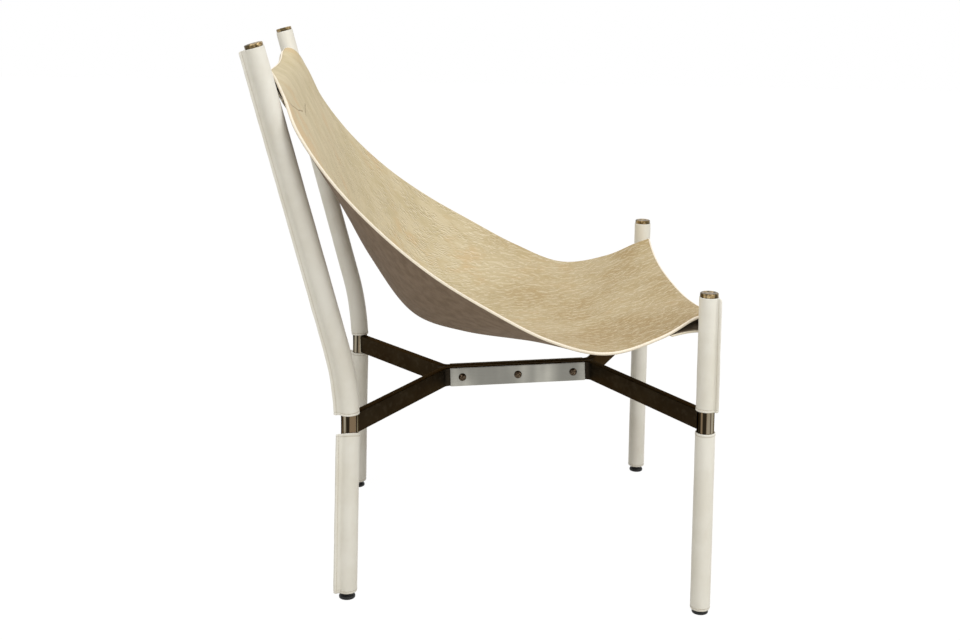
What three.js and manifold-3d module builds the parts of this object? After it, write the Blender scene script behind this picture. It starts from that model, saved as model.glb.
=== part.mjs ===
// Leather sling lounge chair: four leather-wrapped steel posts, a flat-bar stretcher bolted
// together along the middle, and a hide hung by its corners from steel tabs on the posts.
// Millimetres, +Z up, the sitter faces -Y, and the chair stands on Z = 0 centred on its box.
import * as THREE from 'three';
import { mergeVertices } from 'three/addons/utils/BufferGeometryUtils.js';
import Module from 'manifold-3d';

const wasm = await Module();
wasm.setup();

// Driving dimensions of the whole chair
const frontTrack = 592;            // between the front post axes
const rearTrack = 457;             // between the rear post axes at the floor
const wheelbase = 512;             // between the front and rear post axes
const frontPostTop = 464.1;        // top end of a front tube above the floor
const rearPostTop = 808.2;         // top end of a rear tube above the floor
const contactGap = 0.3;            // left between pieces that touch
const cutOverrun = 3;              // how far a cutter runs past what it cuts

// Steel tube of the posts
const tubeDiameter = 25.4;
const tubeWall = 1.6;
const rakeStartHeight = 250;       // the rear tubes are straight up to here
const rakeBendRadius = 450;
const rakeAngle = THREE.MathUtils.degToRad(16.2);
const splayAngle = THREE.MathUtils.degToRad(8.6);  // each rear bend is turned outwards in plan
const tubeFootHeight = 10.5;       // bottom end of every tube above the floor

// Leather wrapped round the posts, each closed by a stitched seam that stands up as a fin
const coverLeather = 1.5;
const frontFinReach = 7;
const rearFinReach = 9;
const coverFootHeight = 9.8;
const frontRightFootHeight = 6;    // the lower cover of the front right post reaches further down
const frontFinAngle = THREE.MathUtils.degToRad(135);     // from straight back towards the outside
const frontRightLowerFinAngle = THREE.MathUtils.degToRad(-80);
const frontLeftLowerFinAngle = THREE.MathUtils.degToRad(80);
const rearRightFinAngle = 0;
const rearLeftFinAngle = THREE.MathUtils.degToRad(40);
const rearLowerFinAngle = THREE.MathUtils.degToRad(25);
const collarReveal = 1.2;          // bare tube left above and below each stretcher arm
const rearRightCollarRise = 7.5;   // its lower cover ends this much higher on the outside
const rearRightCollarDrop = 3.5;   // and this much lower on the inside

// Brass caps on the post tops
const capRadius = 13.4;
const capHeight = 6.2;
const capEdgeRadius = 1.2;
const capDishRadius = 9;
const capDishDepth = 0.6;
const capSpigotLength = 15;

// Levelling glides screwed into the post bottoms
const gliderThread = 8;
const gliderInsertLength = 16;
const gliderStudLength = 30;
const gliderPadRadius = 12;
const gliderNeckRadius = 8.5;
const gliderPadHeight = 7.5;
const gliderBaseHeight = 5.2;
const gliderEdgeRadius = 1.4;
const gliderSocketFloor = 3;
const threadClearance = 0.3;

// Stretcher: two bent flat bars back to back, clamped between two plates
const barThickness = 12.7;
const barHeight = 29.2;
const barBendRadius = 16;
const stretcherHeight = 270.5;     // middle of the bars above the floor
const stretcherRise = 24.1;        // how much higher the bars are at the front posts
const plateThickness = 3;
const plateMiddle = -6;            // middle of the plates behind the middle of the wheelbase
const plateEndMargin = 19.5;       // from the middle of an end bolt to the end of the plates
const bendStandoff = 10;           // from a plate's end to the corner of a bar's bend
const plateCornerRadius = 1.2;
const boltSpacing = 90;
const boltHeadRadius = 6.2;
const boltHeadHeight = 3.6;
const boltDomeShares = [           // steps of its dome, as shares of its radius and its height
  [0, 1],
  [0.5, 0.88],
  [0.85, 0.5],
];
const boltTailLength = 2;
const nutFlats = 13;
const nutHeight = 6.5;

// Sling: one hide, hung by its corners
const slingThickness = 4.5;
const slingRearHangDrop = 28.2;    // its rear corners hang this far below the rear post tops
const slingFrontHangDrop = 37.1;   // its front corners hang this far below the front post tops
const slingFlare = 98.5;           // its sides stand out this far past the line of its corners
const slingEdgeDrop = 150;         // its sides hang this far below that line
const slingBellyDrop = 280;        // its middle hangs this far below that line
const tongueWidth = 17;            // its top corners are rounded over this much of its sides
const tongueHeight = 30;           // and this much of its top edge
const slingPostClearance = 1;

// Formed steel tabs on the posts, and the leather pockets under the sling that slip over them
const tabThickness = 4;
const tabWidth = 20;
const tabLength = 62;
const rearTabDrop = 7;             // from a rear hanging corner to the middle of its tab
const tabSlotClearance = 0.8;
const pocketLeather = 3.2;
const pocketLength = 84;
const pocketReach = 73;            // along the side of the sling
const frontPocketGape = 21;        // how far its mouth hangs open below the tab
const rearPocketGape = 5;
const pocketRiseShare = 0.06;      // of its reach, to climb over the edge of the tab
const pocketFallShare = 0.5;       // of its reach, where it starts back to the sling
const pocketInnerShare = 0.2;      // of its length, to climb over the end of the tab
const pocketSwellPower = 0.35;     // below 1 the widest part of the mouth is nearer the post

// Outline and ring resolution
const coverSides = 20;
const tubeSides = 16;
const bendSteps = 5;
const turnedSides = 16;
const plateCornerSteps = 3;
const nutSides = 6;
const slingRows = 24;
const slingColumns = 20;
const slingEdgeCrowding = 1.5;     // above 1 its grid lines gather towards its sides
const tabRows = 3;
const tabColumns = 6;
const pocketRows = 8;
const pocketColumns = 6;
const edgeSearchSteps = 400;
const surfaceStep = 0.002;         // share of the hide's width or length, to find its slope
const mergeTolerance = 1e-4;

// Sizes that follow from the ones above
const tubeRadius = tubeDiameter / 2;
const boreRadius = tubeRadius - tubeWall;
const coverInner = tubeRadius + contactGap;
const coverOuter = coverInner + coverLeather;
const finThickness = 2 * coverLeather;
const stretcherTilt = Math.atan(stretcherRise / wheelbase);
const threadRadius = gliderThread / 2;
const plateLength = 2 * (boltSpacing + plateEndMargin);
const plateRearReach = plateLength / 2 + plateMiddle;
const plateFrontReach = plateLength / 2 - plateMiddle;
const slingRearHang = rearPostTop - slingRearHangDrop;
const slingFrontHang = frontPostTop - slingFrontHangDrop;

const leather = { color: 0xdcd8cc, roughness: 0.62, metalness: 0 };
const hide = { color: 0xc4b28a, roughness: 0.7, metalness: 0 };
const suede = { color: 0x7a6a5c, roughness: 0.95, metalness: 0 };
const steel = { color: 0xa8a49c, roughness: 0.25, metalness: 1 };
const bronzed = { color: 0x3a2c22, roughness: 0.45, metalness: 0.7 };
const brushed = { color: 0xa6a69e, roughness: 0.4, metalness: 1 };
const brass = { color: 0x8a6e38, roughness: 0.35, metalness: 1 };
const plastic = { color: 0x161616, roughness: 0.5, metalness: 0 };

const chair = new THREE.Group();

function addMesh(parent, name, geometry, finish) {
  const mesh = new THREE.Mesh(geometry, new THREE.MeshStandardMaterial(finish));
  mesh.name = name;
  parent.add(mesh);
  return mesh;
}

// Solids and cuts

function welded(geometry) {
  const bare = geometry.clone();
  for (const name of Object.keys(bare.attributes)) {
    if (name !== 'position') bare.deleteAttribute(name);
  }
  return mergeVertices(bare, mergeTolerance);
}

function signedVolume(geometry) {
  const p = geometry.attributes.position;
  const index = geometry.index.array;
  const a = new THREE.Vector3();
  const b = new THREE.Vector3();
  const c = new THREE.Vector3();
  let six = 0;
  for (let i = 0; i < index.length; i += 3) {
    a.fromBufferAttribute(p, index[i]);
    b.fromBufferAttribute(p, index[i + 1]);
    c.fromBufferAttribute(p, index[i + 2]);
    six += a.dot(b.cross(c));
  }
  return six;
}

function outwardFaces(geometry) {
  if (signedVolume(geometry) < 0) {
    const index = geometry.index.array;
    for (let i = 0; i < index.length; i += 3) {
      [index[i], index[i + 1]] = [index[i + 1], index[i]];
    }
  }
  geometry.computeVertexNormals();
  return geometry;
}

function toSolid(geometry) {
  const shell = welded(geometry);
  return new wasm.Manifold(new wasm.Mesh({
    numProp: 3,
    vertProperties: new Float32Array(shell.attributes.position.array),
    triVerts: new Uint32Array(shell.index.array),
  }));
}

function toGeometry(solid) {
  const mesh = solid.getMesh();
  const geometry = new THREE.BufferGeometry();
  const stride = mesh.numProp;
  const places = new Float32Array(mesh.vertProperties.length / stride * 3);
  for (let i = 0; i < places.length / 3; i += 1) {
    for (let k = 0; k < 3; k += 1) places[3 * i + k] = mesh.vertProperties[stride * i + k];
  }
  geometry.setAttribute('position', new THREE.BufferAttribute(places, 3));
  geometry.setIndex(new THREE.BufferAttribute(new Uint32Array(mesh.triVerts), 1));
  geometry.computeVertexNormals();
  return geometry;
}

function cut(geometry, cutters) {
  let solid = toSolid(geometry);
  for (const cutter of cutters) solid = solid.subtract(toSolid(cutter));
  return toGeometry(solid);
}

// Sweeps a closed section, with or without a hole, through a row of placed stations
function sweep(outline, hole, stations) {
  const ring = [...outline, ...(hole ?? [])];
  const places = [];
  for (const station of stations) {
    for (const point of ring) {
      const place = station.origin.clone();
      place.addScaledVector(station.across, point.x);
      place.addScaledVector(station.along, point.y);
      places.push(place);
    }
  }
  const index = [];
  const loops = [[0, outline.length]];
  if (hole) loops.push([outline.length, ring.length]);
  for (let s = 0; s + 1 < stations.length; s += 1) {
    const low = s * ring.length;
    const high = low + ring.length;
    loops.forEach(([first, end], which) => {
      for (let i = first; i < end; i += 1) {
        const next = i + 1 < end ? i + 1 : first;
        const quad = [low + i, low + next, high + next, high + i];
        if (which === 1) quad.reverse();
        index.push(quad[0], quad[1], quad[2], quad[0], quad[2], quad[3]);
      }
    });
  }
  const lid = THREE.ShapeUtils.triangulateShape(outline, hole ? [hole] : []);
  const top = (stations.length - 1) * ring.length;
  for (const face of lid) {
    const corners = face.map((i) => ring[i]);
    const [a, b, c] = THREE.ShapeUtils.isClockWise(corners) ? face.reverse() : face;
    index.push(c, b, a);
    index.push(top + a, top + b, top + c);
  }
  const geometry = new THREE.BufferGeometry().setFromPoints(places);
  geometry.setIndex(index);
  return outwardFaces(geometry);
}

function circle(radius, sides) {
  const points = [];
  for (let i = 0; i < sides; i += 1) {
    const angle = 2 * Math.PI * i / sides;
    points.push(new THREE.Vector2(radius * Math.cos(angle), radius * Math.sin(angle)));
  }
  return points;
}

function counterClockwise(points) {
  return THREE.ShapeUtils.isClockWise(points) ? [...points].reverse() : points;
}

function turned(profile, sides) {
  const geometry = new THREE.LatheGeometry(profile, sides);
  geometry.rotateX(Math.PI / 2);
  return outwardFaces(welded(geometry));
}

function profilePoints(pairs) {
  return pairs.map(([radius, height]) => new THREE.Vector2(radius, height));
}

// Posts

const posts = [
  { name: 'front_right', side: -1, front: true, fins: [frontFinAngle, frontRightLowerFinAngle] },
  { name: 'front_left', side: 1, front: true, fins: [frontFinAngle, frontLeftLowerFinAngle] },
  { name: 'rear_right', side: -1, front: false, fins: [rearRightFinAngle, rearLowerFinAngle] },
  { name: 'rear_left', side: 1, front: false, fins: [rearLeftFinAngle, rearLowerFinAngle] },
];

for (const post of posts) {
  const track = post.front ? frontTrack : rearTrack;
  post.group = new THREE.Group();
  post.group.position.set(post.side * track / 2, (post.front ? -1 : 1) * wheelbase / 2, 0);
  post.group.rotation.z = post.front ? 0 : -post.side * splayAngle;
  chair.add(post.group);
  post.group.updateMatrixWorld();
}

// Where the axis of a post is at a height, in the post's own frame, and how far it leans there
function axisAt(post, height) {
  if (post.front || height <= rakeStartHeight) {
    return { back: 0, lean: 0 };
  }
  const bendRise = rakeBendRadius * Math.sin(rakeAngle);
  const rise = height - rakeStartHeight;
  if (rise < bendRise) {
    const lean = Math.asin(rise / rakeBendRadius);
    return { back: rakeBendRadius * (1 - Math.cos(lean)), lean };
  }
  const bendBack = rakeBendRadius * (1 - Math.cos(rakeAngle));
  return { back: bendBack + (rise - bendRise) * Math.tan(rakeAngle), lean: rakeAngle };
}

function stationAt(post, height) {
  const { back, lean } = axisAt(post, height);
  return {
    origin: new THREE.Vector3(0, back, height),
    across: new THREE.Vector3(1, 0, 0),
    along: new THREE.Vector3(0, Math.cos(lean), -Math.sin(lean)),
  };
}

function postStations(post, low, high) {
  const heights = [low];
  if (!post.front) {
    const bendRise = rakeBendRadius * Math.sin(rakeAngle);
    for (let i = 0; i <= bendSteps; i += 1) {
      const height = rakeStartHeight + bendRise * i / bendSteps;
      if (height > low && height < high) heights.push(height);
    }
  }
  heights.push(high);
  return heights.map((height) => stationAt(post, height));
}

// Height of the middle of the stretcher bars where they meet a post
function armHeight(post) {
  const ahead = -post.group.position.y;
  return stretcherHeight + ahead * Math.tan(stretcherTilt);
}

function finnedOutline(radius, reach, thickness, angle) {
  const half = Math.asin(thickness / 2 / radius);
  const points = [];
  for (let i = 0; i <= coverSides; i += 1) {
    const turn = half + (2 * Math.PI - 2 * half) * i / coverSides;
    points.push(new THREE.Vector2(radius * Math.sin(turn), radius * Math.cos(turn)));
  }
  points.push(new THREE.Vector2(-thickness / 2, radius + reach));
  points.push(new THREE.Vector2(thickness / 2, radius + reach));
  const centre = new THREE.Vector2();
  return points.map((point) => point.rotateAround(centre, -angle));
}

const postTop = (post) => (post.front ? frontPostTop : rearPostTop);

// A solid rod along the axis of a post, for cutting what fits round it
function postRod(post, radius) {
  const stations = postStations(post, tubeFootHeight, postTop(post));
  const rod = sweep(counterClockwise(circle(radius, coverSides)), null, stations);
  return rod.applyMatrix4(post.group.matrixWorld);
}

for (const post of posts) {
  const stations = postStations(post, tubeFootHeight, postTop(post));
  const outer = counterClockwise(circle(tubeRadius, tubeSides));
  const inner = counterClockwise(circle(boreRadius, tubeSides));
  addMesh(post.group, `post_tube_${post.name}`, sweep(outer, inner, stations), steel);
}

// Brass caps: a turned disc with a shallow dish on top and a spigot down the tube

const capEdgeInset = capEdgeRadius * (1 - Math.SQRT1_2);
const capProfile = profilePoints([
  [0, capHeight - capDishDepth],
  [capDishRadius - capDishDepth, capHeight - capDishDepth],
  [capDishRadius, capHeight],
  [capRadius - capEdgeRadius, capHeight],
  [capRadius - capEdgeInset, capHeight - capEdgeInset],
  [capRadius, capHeight - capEdgeRadius],
  [capRadius, contactGap],
  [boreRadius - contactGap, contactGap],
  [boreRadius - contactGap, -capSpigotLength],
  [0, -capSpigotLength],
]);

for (const post of posts) {
  const { back, lean } = axisAt(post, postTop(post));
  const cap = addMesh(post.group, `top_cap_${post.name}`, turned(capProfile, turnedSides), brass);
  cap.position.set(0, back, postTop(post));
  cap.rotation.x = -lean;
}

// Levelling glides: a threaded insert in the tube, and a pad on a stud

const insertProfile = profilePoints([
  [threadRadius + threadClearance, 0],
  [boreRadius - contactGap, 0],
  [boreRadius - contactGap, gliderInsertLength],
  [threadRadius + threadClearance, gliderInsertLength],
  [threadRadius + threadClearance, 0],
]);

const studFoot = gliderSocketFloor + contactGap;
const studProfile = profilePoints([
  [0, studFoot],
  [threadRadius, studFoot],
  [threadRadius, studFoot + gliderStudLength - gliderEdgeRadius],
  [threadRadius - gliderEdgeRadius, studFoot + gliderStudLength],
  [0, studFoot + gliderStudLength],
]);

const padProfile = profilePoints([
  [0, 0],
  [gliderPadRadius - gliderEdgeRadius, 0],
  [gliderPadRadius, gliderEdgeRadius],
  [gliderPadRadius, gliderBaseHeight - gliderEdgeRadius],
  [gliderPadRadius - gliderEdgeRadius, gliderBaseHeight],
  [gliderNeckRadius, gliderPadHeight],
  [threadRadius + contactGap, gliderPadHeight],
  [threadRadius + contactGap, gliderSocketFloor],
  [0, gliderSocketFloor],
]);

for (const post of posts) {
  const insert = turned(insertProfile, turnedSides);
  addMesh(post.group, `glide_insert_${post.name}`, insert, steel).position.z = tubeFootHeight;
  addMesh(post.group, `glide_stud_${post.name}`, turned(studProfile, turnedSides), steel);
  addMesh(post.group, `glide_pad_${post.name}`, turned(padProfile, turnedSides), plastic);
}

// Stretcher

const stretcher = new THREE.Group();
stretcher.position.z = stretcherHeight;
stretcher.rotation.x = -stretcherTilt;
chair.add(stretcher);
stretcher.updateMatrixWorld();

const intoStretcher = stretcher.matrixWorld.clone().invert();
const barMiddle = (barThickness + contactGap) / 2;
const postAt = (name) => posts.find((post) => post.name === name);

// Centre line of a bar in plan with its two bends rounded, from the rear post to the front post
function barCentreLine(side) {
  const ends = ['rear', 'front'].map((end) => {
    const place = postAt(`${end}_${side < 0 ? 'right' : 'left'}`).group.position;
    return new THREE.Vector2(place.x, place.y);
  });
  const corners = [
    ends[0],
    new THREE.Vector2(side * barMiddle, plateRearReach + bendStandoff),
    new THREE.Vector2(side * barMiddle, -plateFrontReach - bendStandoff),
    ends[1],
  ];
  const line = [corners[0]];
  for (const i of [1, 2]) {
    const before = corners[i - 1].clone().sub(corners[i]).normalize();
    const after = corners[i + 1].clone().sub(corners[i]).normalize();
    const half = Math.acos(before.dot(after)) / 2;
    const setback = barBendRadius / Math.tan(half);
    const centre = before.clone().add(after).normalize();
    centre.multiplyScalar(barBendRadius / Math.sin(half)).add(corners[i]);
    const start = corners[i].clone().addScaledVector(before, setback).sub(centre);
    const end = corners[i].clone().addScaledVector(after, setback).sub(centre);
    const sweepAngle = Math.atan2(start.cross(end), start.dot(end));
    for (let k = 0; k <= bendSteps; k += 1) {
      line.push(start.clone().rotateAround(new THREE.Vector2(), sweepAngle * k / bendSteps).add(centre));
    }
  }
  line.push(corners[3]);
  return line;
}

function barGeometry(side) {
  const line = barCentreLine(side);
  const left = [];
  const right = [];
  line.forEach((point, i) => {
    const ahead = line[Math.min(i + 1, line.length - 1)].clone().sub(line[Math.max(i - 1, 0)]);
    const normal = new THREE.Vector2(-ahead.y, ahead.x).normalize();
    left.push(point.clone().addScaledVector(normal, barThickness / 2));
    right.push(point.clone().addScaledVector(normal, -barThickness / 2));
  });
  const outline = new THREE.Shape([...left, ...right.reverse()]);
  const bar = new THREE.ExtrudeGeometry(outline, { depth: barHeight, bevelEnabled: false });
  return bar.translate(0, 0, -barHeight / 2);
}

function boltHole(y) {
  const reach = 2 * (barThickness + plateThickness) + cutOverrun;
  const hole = new THREE.CylinderGeometry(threadRadius + threadClearance, threadRadius + threadClearance,
    2 * reach, turnedSides);
  return hole.rotateZ(Math.PI / 2).translate(0, y, 0);
}

const boltPlaces = [-1, 0, 1].map((step) => plateMiddle + step * boltSpacing);
const boltHoles = boltPlaces.map(boltHole);

for (const side of [-1, 1]) {
  const word = side < 0 ? 'right' : 'left';
  const sleeves = posts.filter((post) => post.side === side).map((post) => {
    return postRod(post, tubeRadius + contactGap).applyMatrix4(intoStretcher);
  });
  const bar = cut(barGeometry(side), [...sleeves, ...boltHoles]);
  addMesh(stretcher, `stretcher_bar_${word}`, bar, bronzed);

  const plateShape = new THREE.Shape();
  const r = plateCornerRadius;
  const halfLength = plateLength / 2;
  const halfHeight = barHeight / 2;
  plateShape.moveTo(-halfLength + r, -halfHeight);
  plateShape.lineTo(halfLength - r, -halfHeight);
  plateShape.quadraticCurveTo(halfLength, -halfHeight, halfLength, -halfHeight + r);
  plateShape.lineTo(halfLength, halfHeight - r);
  plateShape.quadraticCurveTo(halfLength, halfHeight, halfLength - r, halfHeight);
  plateShape.lineTo(-halfLength + r, halfHeight);
  plateShape.quadraticCurveTo(-halfLength, halfHeight, -halfLength, halfHeight - r);
  plateShape.lineTo(-halfLength, -halfHeight + r);
  plateShape.quadraticCurveTo(-halfLength, -halfHeight, -halfLength + r, -halfHeight);
  const flat = { depth: plateThickness, bevelEnabled: false, curveSegments: plateCornerSteps };
  const plate = new THREE.ExtrudeGeometry(plateShape, flat);
  plate.translate(0, 0, -plateThickness / 2).rotateX(Math.PI / 2).rotateZ(Math.PI / 2);
  const plateX = side * (barMiddle + barThickness / 2 + contactGap + plateThickness / 2);
  plate.translate(plateX, plateMiddle, 0);
  addMesh(stretcher, `clamp_plate_${word}`, cut(plate, boltHoles), brushed);
}

// Domed bolts enter from the right of the chair and take a nut on the left

const clampHalf = barMiddle + barThickness / 2 + contactGap + plateThickness;
const gripHalf = clampHalf + contactGap;
const boltTail = gripHalf + nutHeight + boltTailLength;
const boltDome = boltDomeShares.map(([out, up]) => [boltHeadRadius * out, gripHalf + boltHeadHeight * up]);
const boltProfile = profilePoints([
  ...boltDome,
  [boltHeadRadius, gripHalf + contactGap],
  [boltHeadRadius, gripHalf],
  [threadRadius, gripHalf],
  [threadRadius, -boltTail],
  [0, -boltTail],
]);

const nutShape = new THREE.Shape(circle(nutFlats / Math.sqrt(3), nutSides));
nutShape.holes.push(new THREE.Path(circle(threadRadius + threadClearance, turnedSides)));

boltPlaces.forEach((y, i) => {
  const bolt = addMesh(stretcher, `clamp_bolt_${i + 1}`, turned(boltProfile, turnedSides), brass);
  bolt.position.y = y;
  bolt.rotation.y = -Math.PI / 2;
  const nutBlank = new THREE.ExtrudeGeometry(nutShape, { depth: nutHeight, bevelEnabled: false });
  const nut = addMesh(stretcher, `clamp_nut_${i + 1}`, outwardFaces(welded(nutBlank)), steel);
  nut.position.set(gripHalf, y, 0);
  nut.rotation.y = Math.PI / 2;
});

// Sling. Its sides and its middle line are given as shares of the line that joins its two hanging
// corners on one side: how far along it, and what share of the flare and of the drops is reached.
const slingStationShares = [
  { edge: -0.018, flare: 0.0, edgeDrop: 0.02, belly: -0.012, bellyDrop: 0.09, cup: 5 },
  { edge: 0.017, flare: 0.0, edgeDrop: -0.01, belly: 0.03, bellyDrop: 0.09, cup: 5.3 },
  { edge: 0.05, flare: 0.11, edgeDrop: 0.14, belly: 0.067, bellyDrop: 0.18, cup: 4 },
  { edge: 0.085, flare: 0.37, edgeDrop: 0.385, belly: 0.113, bellyDrop: 0.325, cup: 2.6 },
  { edge: 0.162, flare: 0.55, edgeDrop: 0.65, belly: 0.172, bellyDrop: 0.55, cup: 2.1 },
  { edge: 0.267, flare: 0.73, edgeDrop: 0.84, belly: 0.246, bellyDrop: 0.795, cup: 2 },
  { edge: 0.381, flare: 0.94, edgeDrop: 0.935, belly: 0.351, bellyDrop: 0.98, cup: 2 },
  { edge: 0.508, flare: 1.0, edgeDrop: 0.957, belly: 0.459, bellyDrop: 0.915, cup: 2 },
  { edge: 0.64, flare: 0.87, edgeDrop: 0.942, belly: 0.623, bellyDrop: 0.715, cup: 2 },
  { edge: 0.773, flare: 0.47, edgeDrop: 0.806, belly: 0.784, bellyDrop: 0.485, cup: 2 },
  { edge: 0.9, flare: 0.16, edgeDrop: 0.39, belly: 0.885, bellyDrop: 0.275, cup: 2.2 },
  { edge: 0.978, flare: 0.0, edgeDrop: 0.04, belly: 0.962, bellyDrop: 0.113, cup: 2.3 },
  { edge: 1.018, flare: 0.0, edgeDrop: -0.11, belly: 1.003, bellyDrop: 0.025, cup: 2.5 },
];

function hangPoint(name, height) {
  const post = postAt(name);
  const { back } = axisAt(post, height);
  const place = post.group.localToWorld(new THREE.Vector3(0, back, height));
  place.x -= post.side * (coverOuter + slingPostClearance);
  return place;
}

const rearHang = hangPoint('rear_left', slingRearHang);
const frontHang = hangPoint('front_left', slingFrontHang);

const edgeCurve = new THREE.CatmullRomCurve3(slingStationShares.map((share) => {
  const place = new THREE.Vector3().lerpVectors(rearHang, frontHang, share.edge);
  place.x += slingFlare * share.flare;
  place.z -= slingEdgeDrop * share.edgeDrop;
  return place;
}));
const bellyCurve = new THREE.CatmullRomCurve3(slingStationShares.map((share) => {
  const place = new THREE.Vector3().lerpVectors(rearHang, frontHang, share.belly);
  place.z -= slingBellyDrop * share.bellyDrop;
  return place.setX(0);
}));

function cupAt(run) {
  const scaled = THREE.MathUtils.clamp(run, 0, 1) * (slingStationShares.length - 1);
  const i = Math.min(Math.floor(scaled), slingStationShares.length - 2);
  return THREE.MathUtils.lerp(slingStationShares[i].cup, slingStationShares[i + 1].cup, scaled - i);
}

// A point of the hide's middle surface: width from -1 to 1 across, run from 0 at the top to 1 in front
function hidePoint(width, run) {
  const edge = edgeCurve.getPoint(run);
  const belly = bellyCurve.getPoint(run);
  const lift = Math.abs(width) ** cupAt(run);
  const place = belly.lerp(edge, lift);
  return place.setX(edge.x * width);
}

// The run of the hide's side edge that lies nearest to a place
function runNear(place) {
  let best = 0;
  for (let i = 0; i <= edgeSearchSteps; i += 1) {
    const run = i / edgeSearchSteps;
    const nearer = edgeCurve.getPoint(run).distanceTo(place);
    if (nearer < edgeCurve.getPoint(best).distanceTo(place)) best = run;
  }
  return best;
}

function runAfter(start, length) {
  const step = Math.sign(length) / edgeSearchSteps;
  let run = start;
  let travelled = 0;
  while (travelled < Math.abs(length) && run + step >= 0 && run + step <= 1) {
    travelled += edgeCurve.getPoint(run + step).distanceTo(edgeCurve.getPoint(run));
    run += step;
  }
  return run;
}

function hideNormal(width, run) {
  const low = Math.max(run - surfaceStep, 0);
  const high = Math.min(run + surfaceStep, 1);
  const down = hidePoint(width, high).sub(hidePoint(width, low));
  const across = hidePoint(width + surfaceStep, run).sub(hidePoint(width - surfaceStep, run));
  return across.cross(down).normalize().negate();
}

// Closes a grid of paired upper and lower points into one solid
function sheetSolid(rows, columns, pairAt) {
  const upper = [];
  const lower = [];
  for (let i = 0; i <= rows; i += 1) {
    for (let j = 0; j <= columns; j += 1) {
      const [top, bottom] = pairAt(i / rows, j / columns);
      upper.push(top);
      lower.push(bottom);
    }
  }
  const count = upper.length;
  const at = (i, j) => i * (columns + 1) + j;
  const index = [];
  const quad = (a, b, c, d) => index.push(a, b, c, a, c, d);
  for (let i = 0; i < rows; i += 1) {
    for (let j = 0; j < columns; j += 1) {
      quad(at(i, j), at(i, j + 1), at(i + 1, j + 1), at(i + 1, j));
      quad(count + at(i, j), count + at(i + 1, j), count + at(i + 1, j + 1), count + at(i, j + 1));
    }
  }
  for (let j = 0; j < columns; j += 1) {
    quad(at(0, j + 1), at(0, j), count + at(0, j), count + at(0, j + 1));
    quad(at(rows, j), at(rows, j + 1), count + at(rows, j + 1), count + at(rows, j));
  }
  for (let i = 0; i < rows; i += 1) {
    quad(at(i, 0), at(i + 1, 0), count + at(i + 1, 0), count + at(i, 0));
    quad(at(i + 1, columns), at(i, columns), count + at(i, columns), count + at(i + 1, columns));
  }
  const geometry = new THREE.BufferGeometry().setFromPoints([...upper, ...lower]);
  geometry.setIndex(index);
  return outwardFaces(geometry);
}

const tongueRun = runAfter(0, tongueWidth);
const tongueSpan = tongueHeight / rearHang.x;

// Rounds the two top corners of the hide's outline
function roundedPlace(width, run) {
  const outside = (Math.abs(width) - (1 - tongueSpan)) / tongueSpan;
  const above = (tongueRun - run) / tongueRun;
  if (outside <= 0 || above <= 0) return [width, run];
  const s = outside * Math.sqrt(1 - above * above / 2);
  const t = above * Math.sqrt(1 - outside * outside / 2);
  return [Math.sign(width) * (1 - tongueSpan + tongueSpan * s), tongueRun * (1 - t)];
}

function hideSolid(thickness, sideGrowth) {
  return sheetSolid(slingRows, slingColumns, (down, over) => {
    const signed = 2 * over - 1;
    const width = Math.sign(signed) * (1 - (1 - Math.abs(signed)) ** slingEdgeCrowding);
    const [w, r] = roundedPlace(width, down);
    const wide = w * (1 + sideGrowth / rearHang.x);
    const place = hidePoint(wide, r);
    const normal = hideNormal(wide, r);
    return [
      place.clone().addScaledVector(normal, thickness / 2),
      place.clone().addScaledVector(normal, -thickness / 2),
    ];
  });
}

addMesh(chair, 'sling', hideSolid(slingThickness, 0), hide);

// Tabs and pockets lie under the corners of the hide and follow its surface

const tabDepth = slingThickness / 2 + contactGap;
const pocketDepth = tabDepth + tabThickness + contactGap;

// A patch under the hide between two widths and two runs
function patchUnder(side, widths, runs, rows, columns, depthAt, thickness, trim = (...at) => at) {
  return sheetSolid(rows, columns, (down, over) => {
    const squareWidth = side * THREE.MathUtils.lerp(widths[0], widths[1], over);
    const squareRun = THREE.MathUtils.lerp(runs[0], runs[1], down);
    const [width, run] = trim(squareWidth, squareRun);
    const place = hidePoint(width, run);
    const normal = hideNormal(width, run);
    const depth = depthAt(down, over);
    return [
      place.clone().addScaledVector(normal, -depth),
      place.clone().addScaledVector(normal, -depth - thickness),
    ];
  });
}

const hideClearance = hideSolid(2 * tabDepth, contactGap);
const smooth = THREE.MathUtils.smoothstep;

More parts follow.
